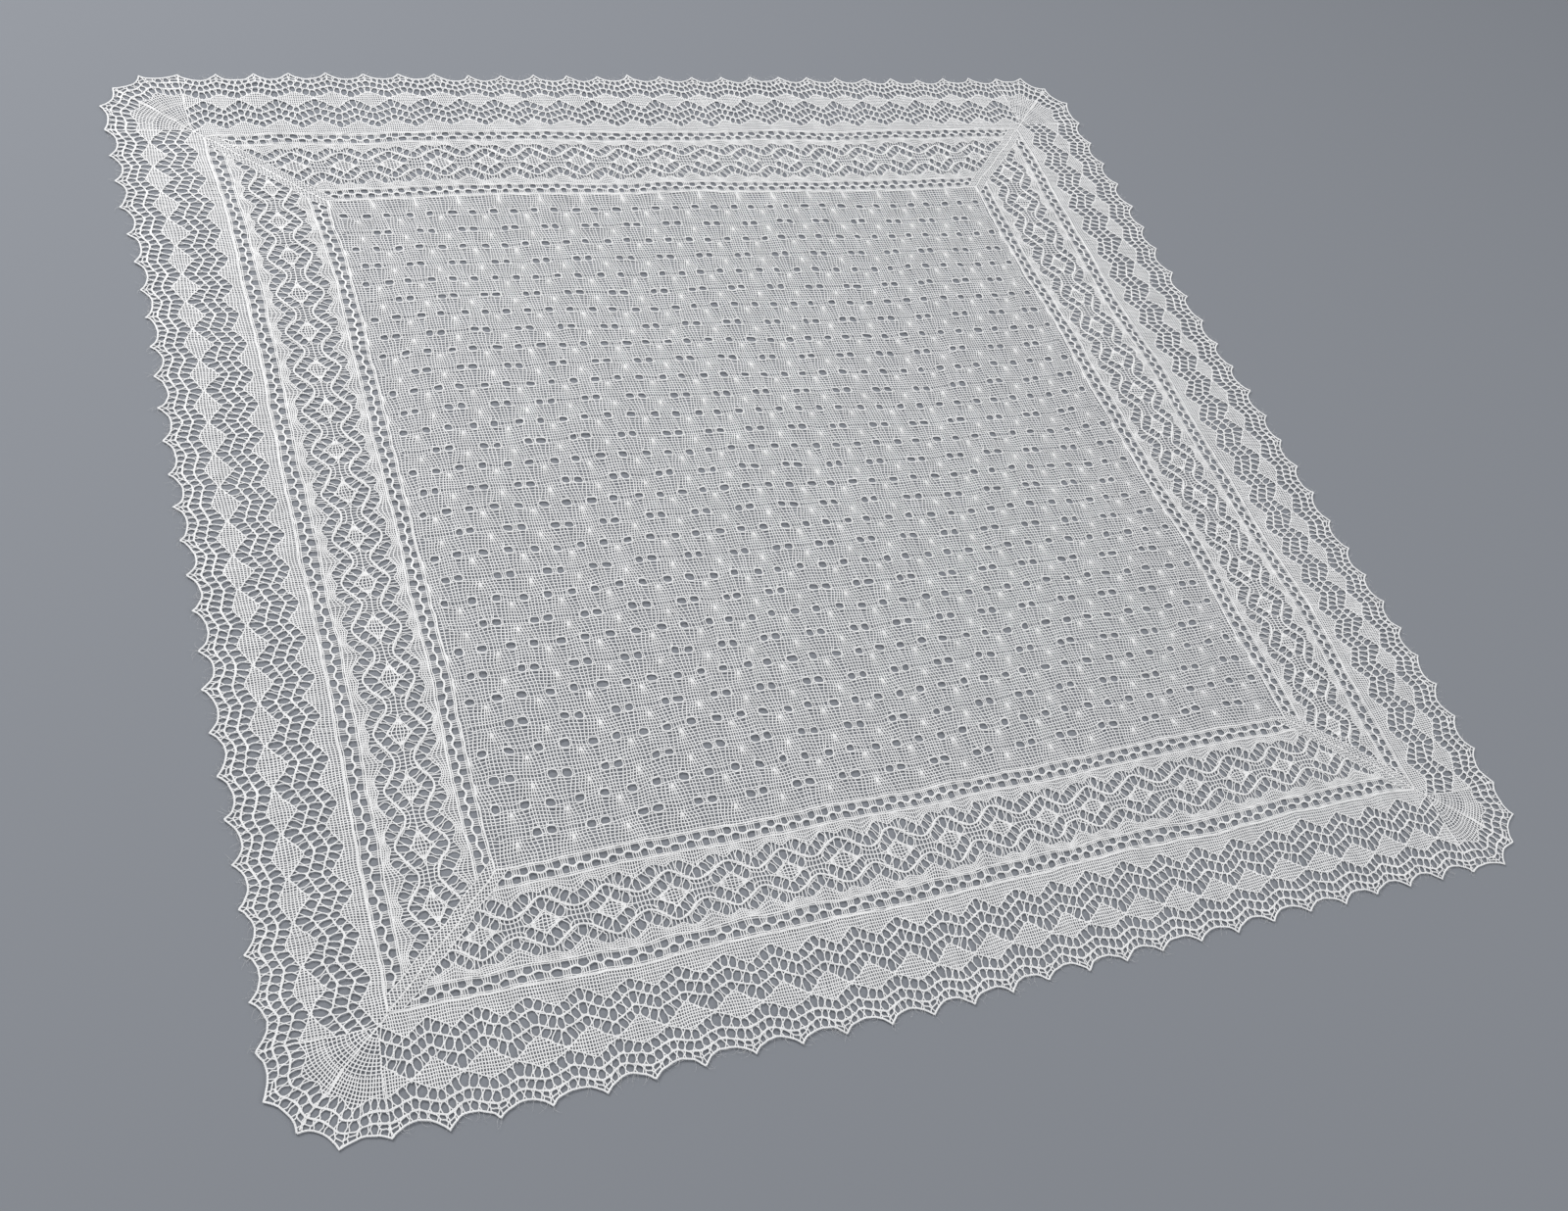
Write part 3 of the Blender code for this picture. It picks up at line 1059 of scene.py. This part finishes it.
def wool(name, colour):
    """White two-ply wool: a soft twist along each strand with an uneven, fuzzy tone, and painted
    shade in the twist's grooves with painted light on its crests.
    """
    material = bpy.data.materials.new(name)
    material.use_nodes = True
    nodes, links = material.node_tree.nodes, material.node_tree.links
    shader = nodes["Principled BSDF"]
    shader.inputs["Roughness"].default_value = 0.9
    shader.inputs["Sheen Weight"].default_value = 0.15
    shader.inputs["Sheen Roughness"].default_value = 0.45
    shader.inputs["Specular IOR Level"].default_value = 0.25
    strand = nodes.new("ShaderNodeUVMap")
    strand.uv_map = "Strand"
    place = nodes.new("ShaderNodeTexCoord")
    twist = nodes.new("ShaderNodeTexWave")
    twist.bands_direction = "DIAGONAL"
    twist.inputs["Scale"].default_value = 260.0
    twist.inputs["Distortion"].default_value = 1.2
    twist.inputs["Detail Scale"].default_value = 2.0
    links.new(strand.outputs["UV"], twist.inputs["Vector"])
    fuzz = nodes.new("ShaderNodeTexNoise")
    fuzz.inputs["Scale"].default_value = 1800.0
    fuzz.inputs["Detail"].default_value = 3.0
    links.new(place.outputs["Object"], fuzz.inputs["Vector"])
    both = nodes.new("ShaderNodeMath")
    both.operation = "MULTIPLY_ADD"
    both.inputs[1].default_value = 0.6
    links.new(twist.outputs["Fac"], both.inputs[0])
    links.new(fuzz.outputs["Fac"], both.inputs[2])
    bump = nodes.new("ShaderNodeBump")
    bump.inputs["Strength"].default_value = 0.9
    bump.inputs["Distance"].default_value = 0.0003
    links.new(both.outputs["Value"], bump.inputs["Height"])
    links.new(bump.outputs["Normal"], shader.inputs["Normal"])
    patches = nodes.new("ShaderNodeTexNoise")
    patches.inputs["Scale"].default_value = 45.0
    patches.inputs["Detail"].default_value = 4.0
    links.new(place.outputs["Object"], patches.inputs["Vector"])
    tint = nodes.new("ShaderNodeValToRGB")
    tint.color_ramp.elements[0].position = 0.3
    tint.color_ramp.elements[0].color = [0.9 * c for c in colour] + [1]
    tint.color_ramp.elements[1].position = 0.7
    tint.color_ramp.elements[1].color = [min(0.96, 1.04 * c) for c in colour] + [1]
    links.new(patches.outputs["Fac"], tint.inputs["Fac"])
    # Painted shade and light: the base colour darkens where the twist and fuzz lie low and lightens
    # where they stand high
    painted_ply_shade = nodes.new("ShaderNodeMapRange")
    painted_ply_shade.inputs["From Max"].default_value = 1.3
    painted_ply_shade.inputs["To Min"].default_value = 0.78
    painted_ply_shade.inputs["To Max"].default_value = 1.14
    links.new(both.outputs["Value"], painted_ply_shade.inputs["Value"])
    shaded = nodes.new("ShaderNodeVectorMath")
    shaded.operation = "SCALE"
    links.new(tint.outputs["Color"], shaded.inputs[0])
    links.new(painted_ply_shade.outputs["Result"], shaded.inputs["Scale"])
    links.new(shaded.outputs["Vector"], shader.inputs["Base Color"])
    return material


def floor_paint():
    """A plain pale grey paint with a faint unevenness."""
    material = bpy.data.materials.new("floor_paint")
    material.use_nodes = True
    nodes, links = material.node_tree.nodes, material.node_tree.links
    shader = nodes["Principled BSDF"]
    shader.inputs["Roughness"].default_value = 0.85
    shader.inputs["Specular IOR Level"].default_value = 0.2
    noise = nodes.new("ShaderNodeTexNoise")
    noise.inputs["Scale"].default_value = 3.0
    ramp = nodes.new("ShaderNodeValToRGB")
    ramp.color_ramp.elements[0].color = (0.21, 0.22, 0.24, 1)
    ramp.color_ramp.elements[1].color = (0.225, 0.235, 0.255, 1)
    links.new(noise.outputs["Fac"], ramp.inputs["Fac"])
    links.new(ramp.outputs["Color"], shader.inputs["Base Color"])
    return material


# The stage

# The camera in the shawl's frame, worked out from the centre panel's corners in the photo
CAMERA_AT = (-0.79750, -1.13733, 1.40503)
CAMERA_RIGHT = (0.91272, -0.31623, 0.25874)
CAMERA_UP = (0.10918, 0.79898, 0.59137)
CAMERA_AHEAD = (0.39373, 0.51150, -0.76377)
CAMERA_LENS = 40.832
# The floor's half width and how far below the frame's origin it lies, in metres
FLOOR_HALF = 6.0
FLOOR_BELOW = 0.0005


def add_camera():
    """The camera at the photograph's viewing angle."""
    data = bpy.data.cameras.new("camera")
    data.sensor_width = 36.0
    data.lens = CAMERA_LENS
    camera = bpy.data.objects.new("camera", data)
    axes = Matrix((CAMERA_RIGHT, CAMERA_UP, [-v for v in CAMERA_AHEAD])).transposed()
    camera.matrix_world = Matrix.Translation(CAMERA_AT) @ axes.to_4x4()
    bpy.context.scene.collection.objects.link(camera)
    bpy.context.scene.camera = camera


def add_light(name, at, size, power):
    """A square soft light that faces the shawl's middle."""
    data = bpy.data.lights.new(name, "AREA")
    data.size = size
    data.energy = power
    light = bpy.data.objects.new(name, data)
    light.location = at
    light.rotation_euler = (-Vector(at)).to_track_quat("-Z", "Y").to_euler()
    bpy.context.scene.collection.objects.link(light)


def add_floor():
    """A plain floor just under the shawl."""
    mesh = bpy.data.meshes.new("floor")
    corners = ((-1, -1), (1, -1), (1, 1), (-1, 1))
    points = [(x * FLOOR_HALF, y * FLOOR_HALF, -FLOOR_BELOW) for x, y in corners]
    mesh.from_pydata(points, [], [(0, 1, 2, 3)])
    mesh.materials.append(floor_paint())
    floor = bpy.data.objects.new("floor", mesh)
    bpy.context.scene.collection.objects.link(floor)


def add_surroundings():
    """The floor, an even pale sky and two soft lights."""
    add_floor()
    world = bpy.data.worlds.new("studio")
    world.use_nodes = True
    background = world.node_tree.nodes["Background"]
    background.inputs["Color"].default_value = (0.93, 0.96, 1.0, 1)
    background.inputs["Strength"].default_value = 0.58
    bpy.context.scene.world = world
    add_light("key", (-1.6, 1.8, 2.6), 1.6, 88)
    add_light("fill", (2.2, -1.4, 2.4), 2.2, 26)
    bpy.context.scene.view_settings.view_transform = "Standard"


# The pieces


def chart_of(node):
    """The strands of a piece as it lies on the near side, and how closely they are followed."""
    yarns = Yarns()
    if node == "centre_panel":
        centre(yarns)
        return yarns.runs, STRAY_MOST
    if node.startswith("insertion"):
        insertion(yarns)
    else:
        edging(yarns)
    flipped = [(r[0] * [1, -1] - [0, CENTRE_HALF], r[1], r[2]) for r in yarns.runs]
    return flipped, BORDER_STRAY


TURNS = {"near": 0.0, "right": 0.5 * math.pi, "far": math.pi, "left": 1.5 * math.pi}


def add_pieces():
    """Every piece of the shawl as lace, in place of its solid."""
    charts = {}
    materials = {}
    finish = {row["slot"]: row["base_color"][:3] for row in frame["record"]["materials"]}
    for row in frame["record"]["subparts"]:
        node, slot = row["node"], row["material_slot"]
        kind = node.split("_")[0]
        if kind not in charts:
            charts[kind] = chart_of(node)
            materials[kind] = wool(slot + "_look", finish[slot])
        runs, stray = charts[kind]
        turn = TURNS.get(node.split("_")[1], 0.0)
        piece = strip_mesh(node + "_lace", runs, turn, stray)
        piece.data.materials.append(materials[kind])
        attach(piece, "root")
        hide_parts(node)


add_pieces()
add_surroundings()
add_camera()
